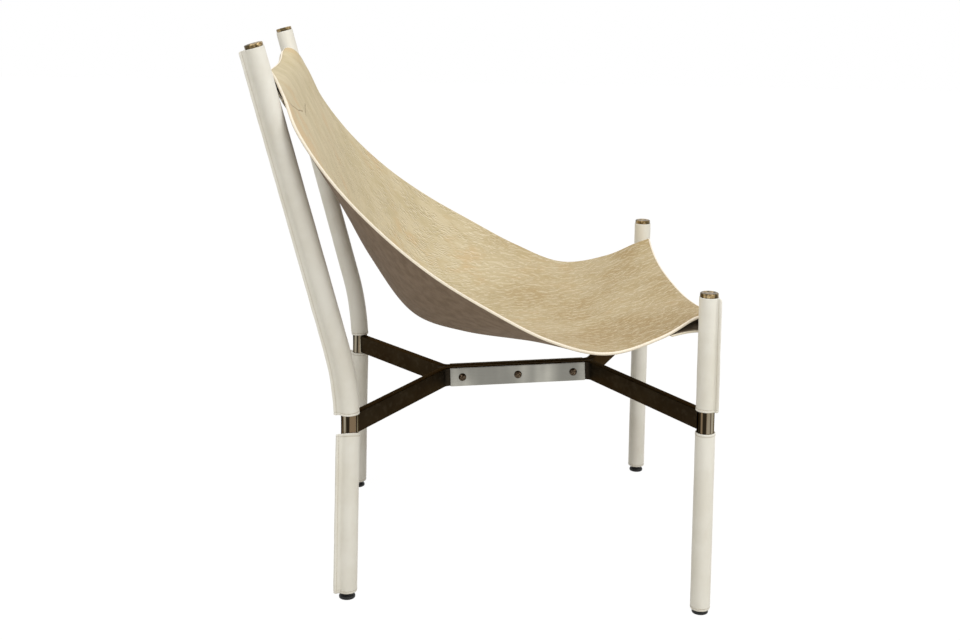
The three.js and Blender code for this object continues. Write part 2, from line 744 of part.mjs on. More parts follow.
for (const post of posts) {
  const hang = post.front ? frontHang : rearHang;
  const middle = runAfter(runNear(hang), post.front ? 0 : rearTabDrop);
  const tabRuns = [runAfter(middle, -tabWidth / 2), runAfter(middle, tabWidth / 2)];
  const tabReach = slingPostClearance + coverOuter - tubeRadius / 2;
  const tabWidths = [1 - tabLength / hang.x, 1 + tabReach / hang.x];
  const tubeRod = postRod(post, tubeRadius + contactGap);
  const tabBlank = patchUnder(post.side, tabWidths, tabRuns, tabRows, tabColumns,
    () => tabDepth, tabThickness);
  addMesh(chair, `sling_tab_${post.name}`, cut(tabBlank, [tubeRod, hideClearance]), steel);

  const slotRuns = [
    runAfter(tabRuns[0], -tabSlotClearance),
    runAfter(tabRuns[1], tabSlotClearance),
  ];
  const slotWidths = [tabWidths[0], tabWidths[1] + 2 * tabSlotClearance / hang.x];
  const slotPatch = (clearance) => patchUnder(post.side, slotWidths, slotRuns, tabRows,
    tabColumns, () => tabDepth - clearance, tabThickness + 2 * clearance);
  post.slot = slotPatch(tabSlotClearance);

  // The pocket is flat over the tab, closes along its inner sides and gapes at its mouth
  const mouth = post.front ? [runAfter(1, -pocketReach), 1] : [0, runAfter(0, pocketReach)];
  const pocketWidths = [1 - pocketLength / hang.x, 1 - contactGap / hang.x];
  const gape = post.front ? frontPocketGape : rearPocketGape;
  const leaf = patchUnder(post.side, pocketWidths, mouth, pocketRows, pocketColumns, (down, over) => {
    const inset = post.front ? 1 - down : down;
    const rise = smooth(inset, 0, pocketRiseShare) * smooth(over, 0, pocketInnerShare);
    const overTab = rise * (1 - smooth(inset, pocketFallShare, 1));
    const swell = Math.sin(Math.PI * inset ** pocketSwellPower) ** 2;
    return tabDepth + (pocketDepth - tabDepth) * overTab + gape * swell * over * over;
  }, pocketLeather, roundedPlace);
  const coverRod = postRod(post, coverOuter + slingPostClearance);
  const pocket = cut(leaf, [coverRod, hideClearance, slotPatch(contactGap)]);
  addMesh(chair, `pocket_${post.name}`, pocket, suede);
}

// Leather covers, the lower one straight and the upper one slotted for the tab

for (const post of posts) {
  const halfCollar = barHeight / 2 / Math.cos(stretcherTilt) + collarReveal;
  const collar = [armHeight(post) - halfCollar, armHeight(post) + halfCollar];
  const inner = counterClockwise(circle(coverInner, coverSides));
  const [upperFin, lowerFin] = post.fins.map((angle) => angle * post.side);
  const reach = post.front ? frontFinReach : rearFinReach;
  const upperOutline = counterClockwise(finnedOutline(coverOuter, reach, finThickness, upperFin));
  const lowerOutline = counterClockwise(finnedOutline(coverOuter, reach, finThickness, lowerFin));
  const intoPost = post.group.matrixWorld.clone().invert();
  const slot = post.slot.applyMatrix4(intoPost);

  const upper = sweep(upperOutline, inner, postStations(post, collar[1], postTop(post)));
  const foot = post.name === 'front_right' ? frontRightFootHeight : coverFootHeight;
  const lowerStations = postStations(post, foot, collar[0]);
  if (post.name === 'rear_right') {
    const top = lowerStations.at(-1);
    top.origin.z += (rearRightCollarRise - rearRightCollarDrop) / 2;
    top.across.z = post.side * (rearRightCollarRise + rearRightCollarDrop) / (2 * coverOuter);
  }
  const lower = sweep(lowerOutline, inner, lowerStations);
  addMesh(post.group, `upper_cover_${post.name}`, cut(upper, [slot]), leather);
  addMesh(post.group, `lower_cover_${post.name}`, lower, leather);
}

// The chair stands with the middle of its box over the origin
const box = new THREE.Box3().setFromObject(chair);
chair.position.y = -(box.min.y + box.max.y) / 2;

export default chair;
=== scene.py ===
import math

import bmesh
import bpy
import numpy as np
from mathutils import Matrix, Vector, noise


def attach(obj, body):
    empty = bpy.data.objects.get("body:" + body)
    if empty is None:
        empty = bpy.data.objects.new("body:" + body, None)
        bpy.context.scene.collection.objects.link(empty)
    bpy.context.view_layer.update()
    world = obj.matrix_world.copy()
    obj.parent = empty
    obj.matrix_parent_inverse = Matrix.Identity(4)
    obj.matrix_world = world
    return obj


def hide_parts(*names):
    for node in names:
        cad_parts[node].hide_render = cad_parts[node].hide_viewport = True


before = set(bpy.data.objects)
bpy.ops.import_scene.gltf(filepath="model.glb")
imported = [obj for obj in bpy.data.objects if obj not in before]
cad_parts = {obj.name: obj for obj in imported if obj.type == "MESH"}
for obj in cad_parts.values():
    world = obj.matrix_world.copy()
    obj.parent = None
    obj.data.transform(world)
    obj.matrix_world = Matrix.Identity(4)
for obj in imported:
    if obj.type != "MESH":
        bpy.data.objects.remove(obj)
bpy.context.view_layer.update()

# The viewpoint
# The chair is seen from its own right, a little over two metres away and from waist height,
# so the near posts stand low in the frame and the hide is seen partly from above.
eye = Vector((-2.3106, 0.1079, 0.9307))
turn, dip, roll = -0.087, -0.059, 0.023
ahead = Vector((math.cos(turn) * math.cos(dip), math.sin(turn) * math.cos(dip), math.sin(dip)))
level = ahead.cross(Vector((0, 0, 1))).normalized()
upright = level.cross(ahead)
right = math.cos(roll) * level + math.sin(roll) * upright
above = math.cos(roll) * upright - math.sin(roll) * level
camera = bpy.data.objects.new("camera", bpy.data.cameras.new("camera"))
camera.matrix_world = Matrix.Translation(eye) @ Matrix((right, above, -ahead)).transposed().to_4x4()
camera.data.sensor_width = 36
camera.data.lens = 54.05
camera.data.shift_x = -0.0544
camera.data.shift_y = -0.279
bpy.context.collection.objects.link(camera)
bpy.context.scene.camera = camera

# Post tubes
# Four lengths of 25.4 mm steel tube, polished and slightly tarnished in streaks along their length; the
# near-black streaks are painted dark reflection.
# The front ones stand straight; the rear ones rake back and a little outwards above the stretcher.
tube_radius = 0.0127
tube_bore = 0.0111
tube_foot = 0.0105
front_top, rear_top = 0.4641, 0.8082
rake_start, rake_radius, rake = 0.25, 0.45, math.radians(16.2)
splay = math.radians(8.6)
front_out, rear_out = 0.296, 0.2285
post_reach, centre_y = 0.256, -0.075083
# Each post's side of the chair, whether it is a front one, and where it stands.
corners = {
    "front_right": (-1, True, Vector((-front_out, centre_y - post_reach, 0))),
    "front_left": (1, True, Vector((front_out, centre_y - post_reach, 0))),
    "rear_right": (-1, False, Vector((-rear_out, centre_y + post_reach, 0))),
    "rear_left": (1, False, Vector((rear_out, centre_y + post_reach, 0))),
}


def post_at(corner, height):
    """Point on a post's axis, and its across, back and along directions there."""
    side, front, foot = corners[corner]
    angle = 0 if front else -side * splay
    across = Vector((math.cos(angle), math.sin(angle), 0))
    back = Vector((-math.sin(angle), math.cos(angle), 0))
    rise = height - rake_start
    lean, reach = 0, 0
    if not front and rise > 0:
        bend_rise = rake_radius * math.sin(rake)
        lean = math.asin(min(rise, bend_rise) / rake_radius)
        reach = rake_radius * (1 - math.cos(lean)) + max(rise - bend_rise, 0) * math.tan(rake)
    up = Vector((0, 0, 1))
    along = up * math.cos(lean) + back * math.sin(lean)
    return foot + back * reach + up * height, across, back * math.cos(lean) - up * math.sin(lean), along


def post_top(corner):
    return front_top if corners[corner][1] else rear_top


def shell(name, rings, loop=False):
    """A mesh through rings of as many points each; loop joins the last ring to the first."""
    rings = np.asarray(rings, dtype=float)
    count, width = rings.shape[:2]
    i = np.arange(count if loop else count - 1)[:, None]
    j = np.arange(width)[None, :]
    i2, j2 = (i + 1) % count, (j + 1) % width
    faces = np.stack([i * width + j, i * width + j2, i2 * width + j2, i2 * width + j], -1).reshape(-1, 4)
    return solid(name, rings.reshape(-1, 3), faces)


def solid(name, points, faces, smooth=True):
    """An object of these points and faces, with its faces turned outwards."""
    mesh = bpy.data.meshes.new(name)
    mesh.from_pydata(np.asarray(points).tolist(), [], [list(map(int, face)) for face in faces])
    mesh.validate()
    bm = bmesh.new()
    bm.from_mesh(mesh)
    bmesh.ops.recalc_face_normals(bm, faces=bm.faces)
    bm.to_mesh(mesh)
    bm.free()
    if smooth:
        mesh.shade_smooth()
    made = bpy.data.objects.new(name, mesh)
    bpy.context.collection.objects.link(made)
    return made


def tube_ring(corner, height, radius, sides=64):
    centre, across, back = post_at(corner, height)[:3]
    angles = np.linspace(0, 2 * math.pi, sides, endpoint=False)
    return [centre + across * radius * math.cos(a) + back * radius * math.sin(a) for a in angles]


class Shade:
    """A socket of a finish. Operators on it add Math nodes, and node() adds any other kind."""

    def __init__(self, tree, socket=None):
        self.tree = tree
        self.socket = socket

    def node(self, kind, settings=None, values=None, output=0):
        made = self.tree.nodes.new("ShaderNode" + kind)
        for name, setting in (settings or {}).items():
            setattr(made, name, setting)
        for name, value in (values or {}).items():
            if isinstance(value, Shade):
                self.tree.links.new(value.socket, made.inputs[name])
            elif isinstance(value, tuple) and len(value) == 3 and made.inputs[name].type == "RGBA":
                made.inputs[name].default_value = (*value, 1)
            else:
                made.inputs[name].default_value = value
        return Shade(self.tree, made.outputs[output]) if len(made.outputs) else None

    def math(self, operation, first, second):
        return self.node("Math", {"operation": operation}, {0: first, 1: second})

    def __add__(self, other):
        return self.math("ADD", self, other)

    def __radd__(self, other):
        return self.math("ADD", other, self)

    def __sub__(self, other):
        return self.math("SUBTRACT", self, other)

    def __rsub__(self, other):
        return self.math("SUBTRACT", other, self)

    def __mul__(self, other):
        return self.math("MULTIPLY", self, other)

    def __rmul__(self, other):
        return self.math("MULTIPLY", other, self)

    def between(self, low, high):
        """0 below low, 1 above high and smooth between them; high may be the lower one."""
        if low > high:
            return 1 - self.between(high, low)
        return self.node("MapRange", {"interpolation_type": "SMOOTHSTEP"}, {0: self, 1: low, 2: high})

    def mix(self, first, second):
        """The first colour where this is 0 and the second where it is 1."""
        return self.node("Mix", {"data_type": "RGBA"}, {0: self, 6: first, 7: second}, 2)

    def stretched(self, x, y, z):
        return self.node("VectorMath", {"operation": "MULTIPLY"}, {0: self, 1: (x, y, z)})

    def part(self, axis):
        """One coordinate of this place, 0 for x."""
        return self.node("SeparateXYZ", {}, {0: self}, axis)

    def noise(self, scale, detail, roughness=0.5):
        values = {"Vector": self, "Scale": scale, "Detail": detail, "Roughness": roughness}
        return self.node("TexNoise", {}, values)

    def bump(self, height, distance, strength=1.0, under=None):
        values = {"Height": height, "Distance": distance, "Strength": strength}
        if under:
            values["Normal"] = under
        return self.node("Bump", {}, values)

    def off_line(self, first, second):
        """How far this place lies from the straight line between two others."""
        span = [b - a for a, b in zip(first, second)]
        square = sum(v * v for v in span)
        start = self.node("VectorMath", {"operation": "SUBTRACT"}, {0: self, 1: first})
        scaled = tuple(v / square for v in span)
        share = self.node("VectorMath", {"operation": "DOT_PRODUCT"}, {0: start, 1: scaled}, "Value")
        share = self.node("Clamp", {}, {0: share})
        nearest = self.node("VectorMath", {"operation": "SCALE"}, {0: tuple(span), "Scale": share})
        return self.node("VectorMath", {"operation": "DISTANCE"}, {0: start, 1: nearest}, "Value")

    def own(self, name):
        """What is stored on the mesh's own points under this name."""
        return self.node("Attribute", {"attribute_name": name}, {}, "Fac")

    def place(self):
        return self.node("TexCoord", {}, {}, "Object")


def finish(name, recipe):
    """A material whose sockets are what the recipe returns."""
    made = bpy.data.materials.new(name)
    made.use_nodes = True
    made.node_tree.nodes.clear()
    start = Shade(made.node_tree)
    start.node("OutputMaterial", {}, {"Surface": start.node("BsdfPrincipled", {}, recipe(start))})
    return made


def polished_tube(start):
    place = start.place()
    streak = place.stretched(230, 230, 3).noise(1, 2)
    band = place.stretched(110, 110, 1).noise(1, 1)
    warm = band.between(0.42, 0.6).mix((0.34, 0.305, 0.23), (0.19, 0.135, 0.08))
    # The near-black streaks are painted dark reflection; the warm and pale bands are partly tarnish and
    # partly painted reflection.
    tone = streak.between(0.44, 0.56).mix((0.022, 0.016, 0.009), warm)
    dull = place.noise(60, 3)
    return {
        "Base Color": tone,
        "Metallic": 1.0,
        "Roughness": 0.16 + 0.16 * dull,
        "Specular Tint": (0.15, 0.12, 0.09),
        "Normal": start.bump(streak, 0.00006),
    }


tube_finish = finish("polished_tube", polished_tube)


def dress(piece, material, slot_name, body, *nodes):
    """Gives a piece its finish, puts it on its body, and lets it stand for its nodes. Its slot name is
    not used.
    """
    piece.data.materials.append(material)
    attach(piece, body)
    if nodes:
        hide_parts(*nodes)
    return piece


for corner in corners:
    top = post_top(corner)
    heights = np.linspace(tube_foot, top, 60)
    rings = [tube_ring(corner, h, tube_radius) for h in heights]
    rings += [tube_ring(corner, h, tube_bore) for h in heights[::-1]]
    tube = shell("tube_" + corner, rings, loop=True)
    tube.data.set_sharp_from_angle(angle=math.radians(50))
    dress(tube, tube_finish, "tube_steel", "chair", "post_tube_" + corner)

# Glides
# Under each post a plated insert is driven into the tube and a stud screws into it.
# The stud carries a black moulded foot with a swelled rim, which turns out to level the chair.


def plated_steel(start):
    place = start.place()
    cloud = place.noise(180, 4)
    return {
        "Base Color": cloud.between(0.35, 0.7).mix((0.5, 0.5, 0.48), (0.62, 0.61, 0.58)),
        "Metallic": 1.0,
        "Roughness": 0.3 + 0.15 * cloud,
        "Normal": start.bump(place.noise(900, 2), 0.00005),
    }


def moulded_foot(start):
    place = start.place()
    scuff = place.noise(300, 4)
    return {
        "Base Color": scuff.between(0.5, 0.75).mix((0.012, 0.012, 0.012), (0.03, 0.029, 0.027)),
        "Roughness": 0.38 + 0.2 * scuff,
        "Specular IOR Level": 0.25,
        "Normal": start.bump(place.noise(1500, 2), 0.00004),
    }


plated = finish("plated_steel", plated_steel)
foot_finish = finish("moulded_foot", moulded_foot)


def plated_node(name):
    """Plates a hidden steel piece that is shown as the CAD has it."""
    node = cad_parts[name]
    node.data.materials.clear()
    node.data.materials.append(plated)


def close_ends(made, sharp):
    """Fills a piece's open ends, and shades it smooth except at edges of more than so many degrees."""
    bm = bmesh.new()
    bm.from_mesh(made.data)
    bmesh.ops.holes_fill(bm, edges=[e for e in bm.edges if e.is_boundary])
    bmesh.ops.recalc_face_normals(bm, faces=bm.faces)
    bm.to_mesh(made.data)
    bm.free()
    made.data.shade_smooth()
    made.data.set_sharp_from_angle(angle=math.radians(sharp))
    return made


def turned(name, profile, place, sides=64, bored=False):
    """A body of revolution round its own Z, from (radius, height) pairs in millimetres."""
    angles = np.linspace(0, 2 * math.pi, sides, endpoint=False)
    rings = []
    for radius, height in profile:
        r, z = max(radius, 0.01) / 1000, height / 1000
        rings.append([place @ Vector((r * math.cos(a), r * math.sin(a), z)) for a in angles])
    return close_ends(shell(name, rings, loop=bored), 38)


foot_profile = [
    (0, 0), (9.6, 0), (10.7, 0.15), (11.5, 0.6), (11.95, 1.5), (12, 2.6), (11.9, 3.7), (11.3, 4.7),
    (10.3, 5.3), (9.3, 5.8), (8.7, 6.5), (8.5, 7.1), (8.3, 7.4), (8, 7.5), (4.4, 7.5), (4.3, 7.3),
    (4.3, 3), (0, 3),
]
for corner, (side, front, foot) in corners.items():
    pad = turned("glide_foot_" + corner, foot_profile, Matrix.Translation(foot))
    dress(pad, foot_finish, "glide_plastic", "glide_" + corner, "glide_pad_" + corner)
    plated_node("glide_insert_" + corner)
    plated_node("glide_stud_" + corner)

# Leather covers
# Each post has an upper and a lower sleeve of off-white leather, wrapped round the tube and sewn up
# by hand, so that the seam stands up as a fin. Their ends are turned over and stitched round.
wrap_radius, wrap_inside = 0.0145, 0.0129
fin_half, fin_corner, fin_end_round = 0.0015, 0.0008, 0.0032
fin_row, stitch_step = 0.22, 0.0052
edge_round = 0.00075
hem_thick, hem_wide, hem_row = 0.0003, 0.0031, 0.0037
row_deep, row_half = 0.0004, 0.0005
gather_long, gather_deep = 0.0055, 0.0018
slant_long, slant_lift, slant_swing = 0.045, 0.002, 0.0055
stretcher_height, stretcher_tilt = 0.2705, math.atan(24.1 / 512)
collar_half = 0.0146 / math.cos(stretcher_tilt) + 0.0012
# Where the fins of each post's upper and lower cover point: degrees outwards from straight back.
fin_angles = {
    "front_right": (135, -80), "front_left": (135, 80),
    "rear_right": (0, 25), "rear_left": (40, 25),
}


def fin_root(fillet):
    """How far out the straight side of a fin begins, above the fillet that it leaves the wrap in."""
    return math.sqrt((wrap_radius + fillet) ** 2 - (fin_half + fillet) ** 2)


def cover_section(reach, fillet):
    """The wrap with its fin along +y: points, outward normals and shares of the groove's depth."""
    root = fin_root(fillet)
    first = math.atan2(fin_half + fillet, root)
    half = []
    for k in range(29):
        a = math.pi + (first - math.pi) * k / 28
        half.append((wrap_radius * math.sin(a), wrap_radius * math.cos(a), math.sin(a), math.cos(a), 0))
    for k in range(1, 8):
        a = first + (math.pi / 2 - first) * k / 7
        out, up = math.sin(a), math.cos(a)
        half.append((fin_half + fillet - fillet * out, root - fillet * up, out, up, 0.4 * k / 7))
    end = wrap_radius + reach
    for share, groove in ((0.12, 0.7), (fin_row, 1), (0.32, 0.7), (0.45, 0.1), (0.7, 0)):
        half.append((fin_half, root + (end - fin_corner - root) * share, 1, 0, groove))
    for k in range(4):
        a = math.pi / 2 * (1 - k / 3)
        x = fin_half - fin_corner + fin_corner * math.sin(a)
        y = end - fin_corner + fin_corner * math.cos(a)
        half.append((x, y, math.sin(a), math.cos(a), 0))
    # The two layers of leather part in a fine groove along the fin's edge.
    half += [(0.0002, end - 0.0001, 0, 1, 0), (0, end - 0.0007, 0, 1, 1)]
    mirrored = [(-x, y, -out, up, groove) for x, y, out, up, groove in half[1:-1]][::-1]
    section = np.array(half + mirrored)
    return section[:, :2], section[:, 2:4], section[:, 4]


def rounded_back(way_in, radius):
    """How much a rounded edge is drawn back at a place this far in from its end."""
    return radius - math.sqrt(max(radius**2 - (radius - min(way_in, radius)) ** 2, 0))


def cover(corner, part):
    """One sleeve, closed, with its stitches as a second mesh."""
    side, front, foot = corners[corner]
    reach, fillet = (0.007, 0.0025) if front else (0.009, 0.005)
    arm = stretcher_height - (foot.y - centre_y) * math.tan(stretcher_tilt)
    foot_end = 0.006 if corner == "front_right" else 0.0098
    gathered = part == "lower"
    low, high = (foot_end, arm - collar_half) if gathered else (arm + collar_half, post_top(corner))
    slanted = gathered and corner == "rear_right"
    near = np.array([0.3, 0.6, 1, 1.6, 2.2, 2.8, 3.3, 3.7, 4.1, 4.6, 5.4, 6.5, 8]) / 1000
    middle = np.linspace(low + 0.01, high - 0.01, int((high - low) / 0.003))
    levels = np.concatenate([low + near, middle, (high - near)[::-1]])
    seed = Vector((foot.x * 31, foot.y * 17, 9 if gathered else 5))
    turn_by = -math.radians(fin_angles[corner][gathered]) * side
    swing = Matrix.Rotation(turn_by, 2)

    def waver(height):
        """How far the fin's edge leans to one side at this height."""
        return 0.0005 * noise.noise(seed + Vector((3, 0, height * 22)))

    def gathered_in(from_foot):
        """How far the foot end is drawn in towards the glide."""
        if not gathered or from_foot >= gather_long:
            return 0.0
        return gather_deep * (1 - math.sqrt(max(1 - (1 - from_foot / gather_long) ** 2, 0)))

    def ring(height, inset, relief=0.0):
        from_end = min(height - low, high - height)
        short = rounded_back(from_end, fin_end_round)
        ragged = 0.0004 * noise.noise(seed + Vector((0, 0, height * 40)))
        points, normals, grooves = cover_section(reach - short - 0.0004 + ragged, fillet)
        wave = waver(height)
        out = []
        for (x, y), (nx, ny), groove in zip(points, normals, grooves):
            swell = 0.00025 * noise.noise(seed + Vector((x * 45, y * 45, height * 30)))
            swell *= min(from_end / 0.01, 1)
            push = swell + relief - inset - 0.00025 * groove
            px, py = x + nx * push, y + ny * push
            if y > wrap_radius:
                px += wave * (y - wrap_radius) / reach
            out.append(swing @ Vector((px, py)))
        return out

    def raised(x, height):
        """The sleeve that slid up on the outside ends higher there and lower inside."""
        if not slanted:
            return 0.0
        near_end = max(0.0, 1 - (high - height) / slant_long) ** 2
        return near_end * (slant_lift + side * slant_swing * x / wrap_radius)

    def placed(flat, height):
        centre, across, back, along = post_at(corner, height)
        return [centre + across * p[0] + back * p[1] + along * raised(p[0], height) for p in flat]

    def inner(height, radius):
        """A circle with a point under each point of the section."""
        return placed([p.normalized() * radius for p in ring(height, 0)], height)

    rings, groove_marks = [], []
    for height in levels:
        from_end = min(height - low, high - height)
        hemmed = gathered or height - low < high - height
        lip = rounded_back(from_end, edge_round)
        hem = hem_thick if hemmed and from_end < hem_wide else 0.0
        dent = -row_deep * math.exp(-(((from_end - hem_row) / row_half) ** 2)) if hemmed else 0.0
        rings.append(placed(ring(height, lip + gathered_in(height - low), hem + dent), height))
        groove_marks.append(min(1.0, -dent / row_deep + (0.5 if from_end < 0.0005 else 0)))
    body = len(rings)
    foot_radius = 0.0122 if gathered else 0.0133
    ends = [inner(high, 0.0137), inner(high - 0.0002, 0.0132)]
    ends += [inner(h, wrap_inside) for h in np.linspace(high - 0.0008, low + 0.0008, 40)]
    ends += [inner(low + 0.0005 if gathered else low + 0.0002, foot_radius)]
    ends += [inner(low, foot_radius + 0.0003)]
    made = shell(f"{part}_sleeve_{corner}", rings + ends, loop=True)
    # Marks of the grooves, the stitch rows and the very ends, stored as groove for the finish, which
    # paints shade along them.
    marks = np.zeros((len(rings) + len(ends), len(rings[0])))
    section_grooves = cover_section(reach, fillet)[2]
    marks[:body] = np.maximum(np.array(groove_marks)[:, None], section_grooves[None, :])
    stored = made.data.attributes.new("groove", "FLOAT", "POINT")
    stored.data.foreach_set("value", marks.ravel())

    stitches = []
    root = fin_root(fillet) - wrap_radius
    row_out = root + fin_row * (reach - fin_corner - root)
    height = low + 0.006
    while height < high - 0.006:
        centre, across, back, along = post_at(corner, height)
        lean = waver(height) * row_out / reach
        for way in (-1, 1):
            flat = swing @ Vector((way * (fin_half - 0.00022) + lean, wrap_radius + row_out))
            out = swing @ Vector((way, 0))
            stitches.append((
                centre + across * flat[0] + back * flat[1] + along * raised(flat[0], height),
                along,
                across * out[0] + back * out[1],
            ))
        height += stitch_step
    around, fin_gap = 26, 0.35
    for end in (low + hem_row, high - hem_row) if gathered else (low + hem_row,):
        centre, across, back, along = post_at(corner, end)
        inset = gathered_in(end - low)
        for k in range(around):
            a = fin_gap + (2 * math.pi - 2 * fin_gap) * k / (around - 1)
            flat = swing @ Vector((math.sin(a), math.cos(a)))
            out = across * flat[0] + back * flat[1]
            lift = along * raised(flat[0] * wrap_radius, end)
            sunk = wrap_radius - 0.00012 - inset
            stitches.append((centre + out * sunk + lift, along.cross(out), out))
    return made, stitches


def sewn(name, stitches, length=0.0036, thick=0.00036):
    """Short rounded lengths of thread that dive into the leather at both ends."""
    rise = [(-0.5, 0.35, -0.5), (-0.42, 0.75, -0.1), (-0.2, 1, 0.2)]
    profile = rise + [(-step, girth, lift) for step, girth, lift in rise[::-1]]
    sides = 6
    points, faces = [], []
    for centre, along, out in stitches:
        cross = along.cross(out).normalized()
        base = len(points)
        for step, girth, lift in profile:
            middle = centre + along * length * step + out * thick * lift
            for k in range(sides):
                a = 2 * math.pi * k / sides
                points.append(middle + (out * math.cos(a) + cross * math.sin(a)) * thick * girth)
        for ring_index in range(len(profile) - 1):
            for k in range(sides):
                a, b = base + ring_index * sides + k, base + ring_index * sides + (k + 1) % sides
                faces.append((a, b, b + sides, a + sides))
        faces.append(tuple(base + k for k in range(sides)))
        faces.append(tuple(base + (len(profile) - 1) * sides + k for k in range(sides)))
    return solid(name, points, faces)


def sleeve_leather(start):
    place = start.place()
    cloud = place.noise(14, 4, 0.6)
    soil = place.stretched(1, 1, 0.3).noise(45, 3)
    clean = cloud.between(0.35, 0.68).mix((0.79, 0.768, 0.69), (0.73, 0.7, 0.61))
    body = (soil.between(0.55, 0.8) * 0.3).mix(clean, (0.66, 0.6, 0.5))
    groove = start.own("groove")
    # Grooves, stitch rows and the sleeve's very ends are painted darker: painted shade in the recesses.
    tone = (groove.between(0.15, 1.0) * 0.35).mix(body, (0.42, 0.36, 0.27))
    cells = place.node("TexVoronoi", {"feature": "DISTANCE_TO_EDGE"}, {"Vector": place, "Scale": 1100.0})
    pores = place.noise(2600, 2)
    creases = place.stretched(1, 1, 2.2).noise(160, 4, 0.6)
    grain = cells.between(0.0, 0.25) * 0.6 + pores * 0.4
    return {
        "Base Color": tone,
        "Roughness": 0.42 + 0.16 * cloud + 0.1 * groove,
        "Specular IOR Level": 0.45,
        "Normal": start.bump(grain, 0.00006, 0.7, start.bump(creases, 0.00018, 0.5)),
    }


def waxed_thread(start):
    place = start.place()
    twist = place.noise(1800, 2)
    return {
        "Base Color": twist.between(0.3, 0.7).mix((0.55, 0.5, 0.41), (0.74, 0.7, 0.6)),
        "Roughness": 0.6 + 0.2 * twist,
        "Normal": start.bump(twist, 0.0001),
    }


sleeve_finish = finish("sleeve_leather", sleeve_leather)
thread_finish = finish("waxed_thread", waxed_thread)
for corner in corners:
    for part in ("upper", "lower"):
        made, stitches = cover(corner, part)
        dress(made, sleeve_finish, "cover_leather", "chair", f"{part}_cover_{corner}")
        dress(sewn(f"{part}_stitches_{corner}", stitches), thread_finish, "cover_leather", "chair")

# Caps
# A turned brass cap closes the top of each post: a low drum with a rounded rim and a shallow dish,
# held by a spigot inside the tube. The brass has aged to a mottled brown, whose near-black patches and
# bright mottles are partly tarnish and partly painted reflection.
cap_profile = [
    (0, 5.5), (6.5, 5.52), (7.8, 5.6), (8.6, 5.82), (9.1, 6.1), (9.6, 6.2), (11.4, 6.2), (12.3, 6.08),
    (12.95, 5.7), (13.3, 5.1), (13.4, 4.4), (13.4, 0.8), (13.25, 0.45), (12.9, 0.3), (10.9, 0.3),
    (10.8, 0.2), (10.8, -14.6), (10.4, -15), (0, -15),
]


def aged_brass(start):
    place = start.place()
    mottle = place.noise(220, 5, 0.65)
    # Near-black patches and bright mottles: partly tarnish, partly painted reflection.
    tarnish_and_reflection = place.stretched(1, 1, 0.4).noise(90, 3)
    bright = mottle.between(0.35, 0.66).mix((0.16, 0.1, 0.038), (0.58, 0.44, 0.24))
    tone = (tarnish_and_reflection.between(0.45, 0.58) * 0.85).mix(bright, (0.035, 0.026, 0.011))
    return {
        "Base Color": tone,
        "Metallic": 1.0,
        "Roughness": 0.2 + 0.25 * mottle,
        "Normal": start.bump(mottle, 0.00005),
    }


brass_finish = finish("aged_brass", aged_brass)
for corner in corners:
    centre, across, back, along = post_at(corner, post_top(corner))
    place = Matrix.Translation(centre) @ Matrix((across, back, along)).transposed().to_4x4()
    cap = turned("cap_" + corner, cap_profile, place)
    dress(cap, brass_finish, "aged_brass", "chair", "top_cap_" + corner)

# Stretcher bars
# Two 12.7 mm flat bars, bent near both ends and set back to back along the middle of the chair.
# Their arms run out to the four posts, where they are welded to the bare tube. Dark bronzed steel.
bar_thick, bar_high = 0.0127, 0.0292
bar_middle = 0.0065
bar_bend = 0.016
bar_start = 0.0112
straight_rear, straight_front = 0.1135, -0.1255
tilt = Matrix.Translation((0, centre_y, stretcher_height)) @ Matrix.Rotation(-stretcher_tilt, 4, "X")


def bar_line(side):
    """The bar's centre line in plan, its bends rounded, from the rear post to the front one."""
    ends = [Vector((side * rear_out, post_reach)), Vector((side * front_out, -post_reach))]
    bends = [Vector((side * bar_middle, straight_rear)), Vector((side * bar_middle, straight_front))]
    inward = [(bends[k] - ends[k]).normalized() for k in range(2)]
    line = [ends[0] + inward[0] * bar_start]
    for k, point in enumerate(bends):
        before = ((ends[0] if k == 0 else bends[0]) - point).normalized()
        after = ((bends[1] if k == 0 else ends[1]) - point).normalized()
        half = before.angle(after) / 2
        centre = point + (before + after).normalized() * bar_bend / math.sin(half)
        start = point + before * bar_bend / math.tan(half) - centre
        end = point + after * bar_bend / math.tan(half) - centre
        sweep = math.atan2(start.x * end.y - start.y * end.x, start.dot(end))
        for step in range(13):
            line.append(centre + Matrix.Rotation(sweep * step / 12, 2) @ start)
    line.append(ends[1] + inward[1] * bar_start)
    return line


def eased_rectangle(wide, high, radius):
    """The outline of a rectangle with rounded corners."""
    outline = []
    for sx, sz in ((1, 1), (-1, 1), (-1, -1), (1, -1)):
        for k in range(5):
            a = math.atan2(sz, sx) - math.pi / 4 + math.pi / 2 * k / 4
            outline.append((
                sx * (wide / 2 - radius) + radius * math.cos(a),
                sz * (high / 2 - radius) + radius * math.sin(a),
            ))
    return outline


def bar(name, side):
    """A long flat bar with eased edges, as rings of its rounded section along the line."""
    line = bar_line(side)
    fine = [line[0]]
    for before, after in zip(line, line[1:]):
        steps = max(1, int((after - before).length / 0.008))
        fine += [before.lerp(after, k / steps) for k in range(1, steps + 1)]
    section = eased_rectangle(bar_thick, bar_high, 0.0011)
    rings = []
    for k, point in enumerate(fine):
        ahead = (fine[min(k + 1, len(fine) - 1)] - fine[max(k - 1, 0)]).normalized()
        sideways = Vector((-ahead.y, ahead.x))
        rings.append([tilt @ Vector((*(point + sideways * x), z)) for x, z in section])
    return close_ends(shell(name, rings), 40)


